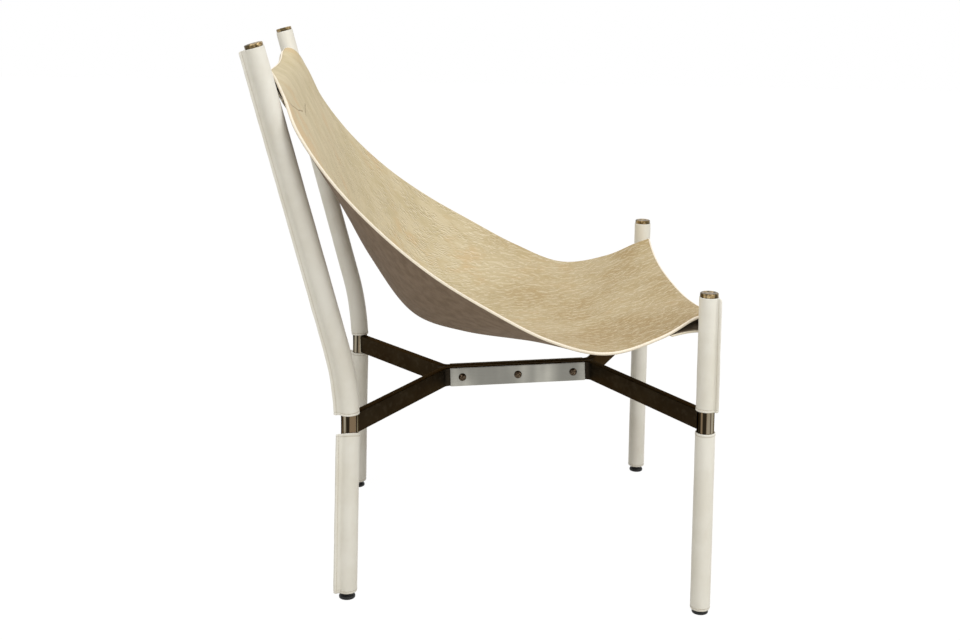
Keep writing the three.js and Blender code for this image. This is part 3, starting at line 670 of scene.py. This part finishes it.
def bronzed_steel(start):
    place = start.place()
    mill = place.stretched(1, 0.12, 1).noise(120, 4)
    cloud = place.noise(22, 3)
    base = cloud.between(0.35, 0.7).mix((0.023, 0.0175, 0.0115), (0.031, 0.024, 0.016))
    tone = (mill.between(0.5, 0.7) * 0.4).mix(base, (0.055, 0.044, 0.031))
    return {
        "Base Color": tone,
        "Metallic": 1.0,
        "Roughness": 0.4 + 0.2 * mill,
        "Specular Tint": (0.5, 0.43, 0.35),
        "Normal": start.bump(mill, 0.00008),
    }


bronze_finish = finish("bronzed_steel", bronzed_steel)
for side, word in ((-1, "right"), (1, "left")):
    dress(bar("bar_" + word, side), bronze_finish, "bronzed_steel", "chair", "stretcher_bar_" + word)

# Clamp plates
# A brushed steel plate on each side of the bars holds them together along their middle.
# Each is 3 mm thick with eased edges, and carries the marks of long brushing along its length.
plate_thick, plate_long, plate_mid = 0.003, 0.219, -0.006
fit_gap = 0.0003
plate_face = bar_middle + bar_thick / 2 + fit_gap


def plate(name, side):
    """A flat plate with small rounded corners and eased edges."""
    ease = 0.0005
    outline = eased_rectangle(plate_long, bar_high, 0.0012)
    steps = [(0, ease), (0.15 * ease, 0.4 * ease), (ease, 0)]
    levels = steps + [(plate_thick - out, inset) for out, inset in steps[::-1]]
    rings = []
    for out, inset in levels:
        ring = []
        for y, z in outline:
            y2 = y - math.copysign(inset, y)
            z2 = z - math.copysign(inset, z)
            ring.append(tilt @ Vector((side * (plate_face + out), plate_mid + y2, z2)))
        rings.append(ring)
    return close_ends(shell(name, rings), 25)


def brushed_steel(start):
    place = start.place()
    brush = place.stretched(1, 0.02, 1).noise(1400, 3, 0.6)
    cloud = place.stretched(1, 1, 0.25).noise(18, 2)
    # The broad lighter and darker patches are painted reflection.
    fine = cloud.between(0.35, 0.65).mix((0.26, 0.255, 0.225), (0.62, 0.605, 0.53))
    tone = (brush * 0.35).mix(fine, (0.2, 0.19, 0.17))
    return {
        "Base Color": tone,
        "Metallic": 1.0,
        "Roughness": 0.3 + 0.2 * brush,
        "Normal": start.bump(brush, 0.00005),
    }


brushed_finish = finish("brushed_steel", brushed_steel)
for side, word in ((-1, "right"), (1, "left")):
    dress(plate("plate_" + word, side), brushed_finish, "brushed_plate", "chair", "clamp_plate_" + word)

# Bolts and nuts
# Three domed bolts go through both plates and both bars from the right and take a nut on the left.
# Their heads are mottled at random like the caps, from nearly black to a dull bronze: partly tarnish and
# partly painted reflection.
bolt_pitch = 0.09
grip = plate_face + plate_thick + fit_gap
bolt_profile = [
    (0, 3.6), (1.6, 3.5), (3, 3.2), (4.3, 2.6), (5.3, 1.8), (5.9, 1.0), (6.15, 0.5), (6.2, 0.15), (6, 0),
    (4, 0), (4, -46.9), (3.4, -47.6), (0, -47.6),
]
nut_profile = [(4.3, 0), (6.6, 0), (7.5, 0.6), (7.5, 5.9), (6.6, 6.5), (4.3, 6.5)]


def dark_bolt(start):
    place = start.place()
    rub_and_reflection = place.noise(500, 3)
    return {
        # Nearly black to dull bronze at random: partly tarnish, partly painted reflection.
        "Base Color": rub_and_reflection.between(0.45, 0.7).mix((0.04, 0.028, 0.018), (0.22, 0.16, 0.105)),
        "Metallic": 1.0,
        "Roughness": 0.22 + 0.2 * rub_and_reflection,
        "Normal": start.bump(rub_and_reflection, 0.00005),
    }


bolt_finish = finish("dark_bolt", dark_bolt)
for number in (1, 2, 3):
    y = plate_mid + (number - 2) * bolt_pitch
    place = tilt @ Matrix.Translation((-grip, y, 0)) @ Matrix.Rotation(-math.pi / 2, 4, "Y")
    bolt = turned(f"bolt_{number}", bolt_profile, place, 48)
    dress(bolt, bolt_finish, "aged_brass", "chair", f"clamp_bolt_{number}")
    place = tilt @ Matrix.Translation((grip, y, 0)) @ Matrix.Rotation(math.pi / 2, 4, "Y")
    nut = turned(f"nut_{number}", nut_profile, place, 6, bored=True)
    dress(nut, plated, "zinc_steel", "chair", f"clamp_nut_{number}")

# Sling
# One thick tan hide, cut to a wide tongue-cornered sheet and hung by its four corners so that it
# sags into a bucket. Its grain is drawn into short wrinkles and its cut edge is rounded and pale.
hide_thick = 0.0045
hang_clear = 0.0155
flare, edge_drop, belly_drop = 0.0985, 0.150, 0.280
pucker_high, swell_high = 0.0003, 0.0009
rear_hang_height, front_hang_height = 0.780, 0.427
grid_long, grid_wide, grid_step = 0.95, 0.72, 0.0032
# The sag at stations from top to front: the side edge's place along the line between its hanging
# points, its flare and its drop, then the same place and drop for the middle, and how square the cup is.
hide_stations = [
    (-0.018, 0.0, 0.02, -0.012, 0.09, 5), (0.017, 0.0, -0.01, 0.03, 0.09, 5.3),
    (0.05, 0.11, 0.14, 0.067, 0.18, 4), (0.085, 0.37, 0.385, 0.113, 0.325, 2.6),
    (0.162, 0.55, 0.65, 0.172, 0.55, 2.1), (0.267, 0.73, 0.84, 0.246, 0.795, 2),
    (0.381, 0.94, 0.935, 0.351, 0.98, 2), (0.508, 1.0, 0.957, 0.459, 0.915, 2),
    (0.64, 0.87, 0.942, 0.623, 0.715, 2), (0.773, 0.47, 0.806, 0.784, 0.485, 2),
    (0.9, 0.16, 0.39, 0.885, 0.275, 2.2), (0.978, 0.0, 0.04, 0.962, 0.113, 2.3),
    (1.018, 0.0, -0.11, 1.003, 0.025, 2.5),
]


def hang_point(corner, height):
    """Where a corner of the hide hangs, just inside its post."""
    point = post_at(corner, height)[0].copy()
    point.x -= corners[corner][0] * hang_clear
    return np.array(point)


rear_hang = hang_point("rear_left", rear_hang_height)
front_hang = hang_point("front_left", front_hang_height)
edge_knots = np.array([
    rear_hang + (front_hang - rear_hang) * at + np.array([flare * out, 0, -edge_drop * down])
    for at, out, down, *middle in hide_stations
])
belly_knots = np.array([
    (rear_hang + (front_hang - rear_hang) * at) * np.array([0, 1, 1])
    + np.array([0, 0, -belly_drop * down])
    for *edge, at, down, cup in hide_stations
])
cups = np.array([row[5] for row in hide_stations], dtype=float)


def curve_through(knots, run):
    """Points of the centripetal curve through the knots, at runs from 0 to 1."""
    knots = np.vstack([2 * knots[0] - knots[1], knots, 2 * knots[-1] - knots[-2]])
    spans = len(knots) - 3
    scaled = np.clip(run, 0, 1) * spans
    k = np.minimum(scaled.astype(int), spans - 1)
    w = (scaled - k)[..., None]
    p0, p1, p2, p3 = (knots[k + i] for i in range(4))
    d0, d1, d2 = (((b - a) ** 2).sum(-1)[..., None] ** 0.25 for a, b in ((p0, p1), (p1, p2), (p2, p3)))
    m1 = ((p1 - p0) / d0 - (p2 - p0) / (d0 + d1) + (p2 - p1) / d1) * d1
    m2 = ((p2 - p1) / d1 - (p3 - p1) / (d1 + d2) + (p3 - p2) / d2) * d1
    return p1 + m1 * w + (3 * (p2 - p1) - 2 * m1 - m2) * w**2 + (2 * (p1 - p2) + m1 + m2) * w**3


def hide_point(width, run):
    """The hide's middle surface: width from -1 to 1 across, run from 0 at the top to 1 in front."""
    width, run = np.broadcast_arrays(np.asarray(width, float), np.asarray(run, float))
    edge, belly = curve_through(edge_knots, run), curve_through(belly_knots, run)
    cup = np.interp(np.clip(run, 0, 1) * (len(cups) - 1), np.arange(len(cups)), cups)
    place = belly + (edge - belly) * (np.abs(width) ** cup)[..., None]
    place[..., 0] = edge[..., 0] * width
    return place


def hide_normal(width, run):
    """The direction that the grain side faces."""
    step = 0.002
    down = hide_point(width, np.minimum(run + step, 1)) - hide_point(width, np.maximum(run - step, 0))
    across = hide_point(width + step, run) - hide_point(width - step, run)
    normal = -np.cross(across, down)
    return normal / np.linalg.norm(normal, axis=-1, keepdims=True)


def spaced(length, step, ends):
    """Grid lines from 0 to 1: even ones at that step, and close ones at both ends."""
    ends = np.array(ends) / length
    count = int(length / step)
    middle = np.linspace(0, 1, count + 1)
    middle = middle[(middle > ends[-1] * 1.3) & (middle < 1 - ends[-1] * 1.3)]
    return np.concatenate([ends, middle, 1 - ends[::-1]])


# How far from a sheet's edge the close lines of its mesh run.
rim_steps = [0, 0.00012, 0.00045, 0.001, 0.0017, 0.0023, 0.003, 0.0038, 0.005, 0.007]
tongue_run, tongue_span = 0.06, 0.030 / rear_hang[0]


def rounded_corners(width, run):
    """Rounds the hide's two top corners into tongues."""
    outside = np.clip((np.abs(width) - (1 - tongue_span)) / tongue_span, 0, 1)
    over = np.clip((tongue_run - run) / tongue_run, 0, 1)
    inside = (outside > 0) & (over > 0)
    s = outside * np.sqrt(1 - over**2 / 2)
    t = over * np.sqrt(1 - outside**2 / 2)
    width2 = np.where(inside, np.sign(width) * (1 - tongue_span + tongue_span * s), width)
    return width2, np.where(inside, tongue_run * (1 - t), run)


def sheet_mesh(name, across, down, place_at, thick, rim_of, relief=None):
    """A sheet with a rounded rim, from its middle surface and each grid point's way to the edge."""
    middle, normal = place_at(across, down)
    rim = rim_of(across, down)
    half = thick / 2 * np.sqrt(np.clip(1 - (1 - np.clip(rim / (thick / 2), 0, 1)) ** 2, 0, 1))
    top = middle + normal * half[..., None]
    bottom = middle - normal * half[..., None]
    if relief is not None:
        fade = np.clip(rim / 0.006, 0, 1)
        lift_top, lift_bottom = relief(across, down)
        top = top + normal * (lift_top * fade)[..., None]
        bottom = bottom + normal * (lift_bottom * fade)[..., None]
    rows, columns = across.shape
    count = rows * columns
    at = np.arange(count).reshape(rows, columns)
    quads = np.stack([at[:-1, :-1], at[:-1, 1:], at[1:, 1:], at[1:, :-1]], -1).reshape(-1, 4)
    border = np.zeros((rows, columns), bool)
    border[0] = border[-1] = True
    border[:, 0] = border[:, -1] = True
    lower = np.where(border.ravel(), at.ravel(), count + at.ravel())
    faces = np.concatenate([quads, lower[quads][:, ::-1]])
    points = np.concatenate([top.reshape(-1, 3), bottom.reshape(-1, 3)])
    used = np.unique(faces)
    renumber = np.zeros(len(points), int)
    renumber[used] = np.arange(len(used))
    made = solid(name, points[used], renumber[faces])
    steps_down = np.linalg.norm(np.diff(middle, axis=0), axis=-1)
    steps_across = np.linalg.norm(np.diff(middle, axis=1), axis=-1)
    along = np.vstack([np.zeros(columns), np.cumsum(steps_down, 0)])
    over = np.hstack([np.zeros((rows, 1)), np.cumsum(steps_across, 1)])
    over = over - over[:, -1:] / 2
    stored = {
        "rim": np.concatenate([rim.ravel(), rim.ravel()]),
        "upper_side": np.concatenate([np.where(border, 0.5, 1).ravel(), np.zeros(count)]),
    }
    for label, numbers in stored.items():
        kept = made.data.attributes.new(label, "FLOAT", "POINT")
        kept.data.foreach_set("value", numbers[used].astype(np.float32))
    lay = np.stack([over.ravel(), along.ravel(), np.zeros(count)], -1)
    lay = np.concatenate([lay, lay + np.array([3, 0, 0])])[used]
    kept = made.data.attributes.new("lay", "FLOAT_VECTOR", "POINT")
    kept.data.foreach_set("vector", lay.astype(np.float32).ravel())
    return made


def sling():
    """The whole hide, with small puckers on its grain side and a gentle swell through both."""
    lines_down = spaced(grid_long, grid_step, rim_steps)
    lines_over = spaced(grid_wide, grid_step, rim_steps)
    down, over = np.meshgrid(lines_down, 2 * lines_over - 1, indexing="ij")

    def place_at(across, run):
        w, r = rounded_corners(across, run)
        return hide_point(w, r), hide_normal(w, r)

    def rim_of(across, run):
        side_scale = np.linalg.norm(hide_point(1.0, run) - hide_point(0.99, run), axis=-1) / 0.01
        before, after = np.maximum(run - 0.005, 0), np.minimum(run + 0.005, 1)
        end_scale = np.linalg.norm(hide_point(across, after) - hide_point(across, before), axis=-1)
        end_scale = end_scale / (after - before)
        return np.minimum((1 - np.abs(across)) * side_scale, np.minimum(run, 1 - run) * end_scale)

    def relief(across, run):
        top = np.zeros(across.shape)
        bottom = np.zeros(across.shape)
        for i in range(across.shape[0]):
            for j in range(across.shape[1]):
                a, b = across[i, j] * grid_wide / 2, run[i, j] * grid_long
                pucker = noise.noise(Vector((a * 110, b * 45, 0)))
                swell = noise.noise(Vector((a * 14, b * 9, 7)))
                top[i, j] = pucker_high * pucker + swell_high * swell
                bottom[i, j] = swell_high * swell
        return top, bottom

    return sheet_mesh("hide", over, down, place_at, hide_thick, rim_of, relief)


def tanned_hide(start):
    lay = start.node("Attribute", {"attribute_name": "lay"}, {}, "Vector")
    rim = start.own("rim")
    upper = start.own("upper_side")
    over, along = lay.part(0), lay.part(1)
    drift = start.node("TexNoise", {}, {"Vector": lay, "Scale": 22.0}, "Color").stretched(0.008, 0.008, 0)
    warped = start.node("VectorMath", {"operation": "ADD"}, {0: lay, 1: drift})
    gather = lay.noise(30, 3, 0.55)
    seat = along.between(0.42, 0.55)
    crowded = gather.between(0.38, 0.56) * along.between(0.1, 0.2) * (1 - 0.45 * seat)

    def wrinkle(shift, across, length):
        """1 in the bottom of the grain's short lengthwise wrinkles, seen a little to one side."""
        moved = start.node("VectorMath", {"operation": "ADD"}, {0: warped, 1: (shift, 0, 0)})
        return moved.stretched(across, length, 1).noise(1, 1, 0.5).between(0.5, 0.39)

    far_wall, near_wall = wrinkle(-0.0008, 400, 95), wrinkle(0.0008, 400, 95)
    small_far, small_near = wrinkle(-0.0005, 760, 190), wrinkle(0.0005, 760, 190)
    broad_far, broad_near = wrinkle(-0.003, 110, 75), wrinkle(0.003, 110, 75)
    # Each wrinkle is painted dark on its wall towards the far side and pale on its wall towards the near
    # side: painted shade and painted light, as light from above falls into a groove.
    shaded_wall_mask = (far_wall - near_wall).between(0.08, 0.7) * crowded
    shaded_wall_mask = shaded_wall_mask + 0.3 * (small_far - small_near).between(0.1, 0.7)
    lit_wall_mask = (near_wall - far_wall).between(0.08, 0.7) * crowded
    lit_wall_mask = lit_wall_mask + 0.3 * (small_near - small_far).between(0.1, 0.7)
    lit_wall_mask = lit_wall_mask + 0.35 * seat * (broad_near - broad_far).between(0.1, 0.7)
    # Two short creases, painted dark along their lines as painted shade and sunk in the relief.
    crease = warped.off_line((-0.25, 0.063, 0), (-0.079, 0.087, 0)).between(0.002, 0.0005)
    tuck = warped.off_line((0.016, 0.083, 0), (-0.07, 0.098, 0)).between(0.0018, 0.0005)
    fold = start.math("MAXIMUM", crease, tuck) * gather.between(0.2, 0.4)
    cloud = lay.noise(6, 3, 0.55)
    patch = lay.stretched(1, 0.6, 1).noise(28, 3, 0.55)
    olive = patch.between(0.38, 0.64).mix((0.51, 0.425, 0.25), (0.595, 0.505, 0.325))
    tan = (cloud.between(0.48, 0.62) * patch.between(0.56, 0.4) * 0.8).mix(olive, (0.585, 0.435, 0.243))
    # The hide is painted darker from the seat forwards: painted shade.
    seat_shaded = along.between(0.42, 0.7).mix(tan, (0.375, 0.255, 0.098))
    body = (0.92 - 0.45 * cloud.between(0.36, 0.58)).mix(tan, seat_shaded)
    near_edge = lay.off_line((-0.24, 0.1, 0), (-0.2, 0.25, 0)).between(0.055, 0.01)
    rubbed = (near_edge * 0.6).mix(body, (0.62, 0.43, 0.22))
    # Painted shade, darker and warmer, on the near side of the seat.
    near_seat_shaded = (seat * over.between(-0.06, -0.2) * 0.5).mix(rubbed, (0.32, 0.205, 0.07))
    # Painted shade and painted light on the walls of the wrinkles.
    dark = (shaded_wall_mask * 0.8).mix(near_seat_shaded, (0.29, 0.215, 0.11))
    pale = (lit_wall_mask * 0.65).mix(dark, (0.84, 0.76, 0.56))
    # Painted shade along the creases.
    grain_side = (fold * 0.8).mix(pale, (0.26, 0.18, 0.09))
    flesh = lay.noise(60, 4).between(0.3, 0.7).mix((0.19, 0.135, 0.09), (0.25, 0.185, 0.13))
    face = upper.between(0.4, 0.6).mix(flesh, grain_side)
    burnish = rim.between(0.0021, 0.0026) * rim.between(0.0036, 0.0029) * upper.between(0.6, 0.9)
    lined = (burnish * 0.4).mix(face, (0.3, 0.2, 0.12))
    reach = 0.0012 + 0.0011 * upper.between(0.5, 0.9)
    cut = (rim - reach).between(0.0002, -0.0002)
    fibre = lay.noise(900, 3).between(0.3, 0.7).mix((0.8, 0.7, 0.54), (0.9, 0.83, 0.7))
    tone = cut.mix(lined, fibre)
    relief = 0.2 * lay.noise(1500, 2) - 0.5 * (far_wall + near_wall) * crowded - 1.1 * fold
    return {
        "Base Color": tone,
        "Roughness": 0.72 - 0.2 * upper + 0.12 * patch,
        "Specular IOR Level": 0.25,
        "Normal": start.bump(relief, 0.0005, 0.9),
    }


hide_finish = finish("tanned_hide", tanned_hide)
hide = dress(sling(), hide_finish, "sling_hide", "chair", "sling")

# Tabs and pockets
# A formed steel tab on each post carries a corner of the hide, which slips over it with a pocket of
# the same leather sewn under it. The front pockets hang open towards the post.
tab_thick, pocket_thick = 0.004, 0.0032
tab_depth = hide_thick / 2 + fit_gap
pocket_depth = tab_depth + tab_thick + fit_gap
pocket_length, pocket_reach = 0.084, 0.073
pocket_step, pocket_inset = 0.0022, 0.0006
post_clear = 0.0174


def edge_run(start, length):
    """The run that lies a length further along the hide's side edge."""
    runs = np.linspace(0, 1, 2001)
    places = curve_through(edge_knots, runs)
    travelled = np.concatenate([[0], np.cumsum(np.linalg.norm(np.diff(places, axis=0), axis=1))])
    return float(np.interp(np.interp(start, runs, travelled) + length, travelled, runs))


def smooth_step(x, low, high):
    """0 below low, 1 above high and smooth between them."""
    t = np.clip((x - low) / (high - low), 0, 1)
    return t * t * (3 - 2 * t)


def pocket(corner):
    """A leaf of leather under a corner of the hide, close to it inwards and open towards the post."""
    side, front = corners[corner][:2]
    hang = front_hang if front else rear_hang
    gape, fill = (0.024, 1) if front else (0.005, 2)
    mouth = (edge_run(1, -pocket_reach), 1) if front else (0, edge_run(0, pocket_reach))
    lines_down = spaced(pocket_reach, pocket_step, rim_steps[:8])
    lines_over = spaced(pocket_length, pocket_step, rim_steps[:8])
    down, over = np.meshgrid(lines_down, lines_over, indexing="ij")
    inner_width, outer_width = 1 - pocket_length / hang[0], 1 - pocket_inset / hang[0]
    run = mouth[0] + (mouth[1] - mouth[0]) * down

    def depth_at(down, over):
        inset = 1 - down if front else down
        over_tab = smooth_step(inset, 0, 0.06) * (1 - smooth_step(inset, 0.5, 1))
        over_tab = over_tab * smooth_step(over, 0, 0.2)
        swell = gape * np.sin(np.pi * inset**0.35) ** fill * over * over
        return tab_depth + (pocket_depth - tab_depth) * over_tab + swell + pocket_thick / 2

    def place_at(over, down):
        width = inner_width + (outer_width - inner_width) * over
        for _ in range(12):
            w, r = rounded_corners(width, run)
            point = hide_point(w, r) - hide_normal(w, r) * depth_at(down, over)[..., None]
            short = np.zeros(width.shape)
            for i in range(width.shape[0]):
                for j in range(width.shape[1]):
                    p = Vector((side * point[i, j, 0], point[i, j, 1], point[i, j, 2]))
                    centre, across, back, along = post_at(corner, p.z)
                    off = p - centre
                    off -= along * off.dot(along)
                    short[i, j] = max(post_clear - off.length, 0)
            worst = short.max(axis=1, keepdims=True)
            if worst.max() < 0.0002:
                break
            width = inner_width + (width - inner_width) * (1 - worst / pocket_length)
        normal = hide_normal(w, r)
        point[..., 0] *= side
        normal[..., 0] *= side
        return point, normal

    def rim_of(over, down):
        from_sides = np.minimum(over, 1 - over) * pocket_length
        return np.minimum(from_sides, np.minimum(down, 1 - down) * pocket_reach)

    return sheet_mesh("pocket_leaf_" + corner, over, down, place_at, pocket_thick, rim_of)


def pocket_leather(start):
    lay = start.node("Attribute", {"attribute_name": "lay"}, {}, "Vector")
    rim = start.own("rim")
    cloud = lay.noise(70, 4)
    face = cloud.between(0.3, 0.7).mix((0.3, 0.24, 0.17), (0.44, 0.36, 0.26))
    tone = rim.between(0.0022, 0.0014).mix(face, (0.74, 0.67, 0.52))
    return {
        "Base Color": tone,
        "Roughness": 0.65 + 0.2 * cloud,
        "Normal": start.bump(lay.noise(700, 3), 0.0002),
    }


pocket_finish = finish("pocket_leather", pocket_leather)
for corner in corners:
    dress(pocket(corner), pocket_finish, "sling_suede", "chair", "pocket_" + corner)
    plated_node("sling_tab_" + corner)

# Floor, backdrop and light
# The chair stands on a plain pale floor in front of nothing, in even studio light: one broad lamp
# overhead, one large soft lamp on the viewer's side and a weaker one at the rear.


def backdrop_seen(start):
    """1 where the backdrop is looked at, straight or in a reflection, and 0 where it only lights."""
    rays = ("Is Camera Ray", "Is Glossy Ray", "Is Transmission Ray")
    straight, mirrored, through = (start.node("LightPath", {}, {}, ray) for ray in rays)
    return start.math("MAXIMUM", straight, start.math("MAXIMUM", mirrored, through))


def pale_floor():
    made = bpy.data.materials.new("pale_floor")
    made.use_nodes = True
    made.node_tree.nodes.clear()
    start = Shade(made.node_tree)
    behind = start.place().part(0).between(-0.8, 0.5)
    matt = start.node("BsdfDiffuse", {}, {"Color": behind.mix((0.6, 0.575, 0.52), (0.42, 0.38, 0.31))})
    bright = start.node("Emission", {}, {"Color": (1, 1, 1), "Strength": 1.09})
    seen = start.node("MixShader", {}, {0: backdrop_seen(start) * 0.9, 1: matt, 2: bright})
    start.node("OutputMaterial", {}, {"Surface": seen})
    return made


floor = solid("floor", [(-9, -9, 0), (9, -9, 0), (9, 9, 0), (-9, 9, 0)], [(0, 1, 2, 3)], smooth=False)
floor.data.materials.append(pale_floor())

world = bpy.data.worlds.new("studio")
world.use_nodes = True
world.node_tree.nodes.clear()
start = Shade(world.node_tree)
toward = start.node("TexCoord", {}, {}, "Generated")
behind = toward.part(0).between(-0.7, 0.3)
glow = 0.23 + 0.45 * toward.part(2).between(0.0, 0.9) + 0.4 * (1 - behind)
soft = start.node("Background", {}, {"Color": (1, 1, 1), "Strength": glow})
white = start.node("Background", {}, {"Color": (1, 1, 1), "Strength": 1.0})
seen = start.node("MixShader", {}, {0: backdrop_seen(start), 1: soft, 2: white})
start.node("OutputWorld", {}, {"Surface": seen})
bpy.context.scene.world = world


def soft_lamp(name, place, aim, size, power):
    lamp = bpy.data.objects.new(name, bpy.data.lights.new(name, "AREA"))
    lamp.data.shape = "RECTANGLE"
    lamp.data.size, lamp.data.size_y = size
    lamp.data.energy = power
    lamp.location = place
    lamp.rotation_mode = "QUATERNION"
    lamp.rotation_quaternion = (Vector(aim) - Vector(place)).to_track_quat("-Z", "Y")
    bpy.context.collection.objects.link(lamp)


soft_lamp("overhead", (-0.3, 0.3, 2.6), (0, 0, 0.4), (2.2, 2.2), 15)
soft_lamp("viewer_side", (-2.0, -2.5, 2.2), (0, 0, 0.5), (1.6, 1.6), 45)
soft_lamp("rear_side", (-1.8, 2.4, 2.2), (0, 0, 0.5), (1.2, 1.8), 13)
bpy.context.scene.view_settings.view_transform = "Standard"
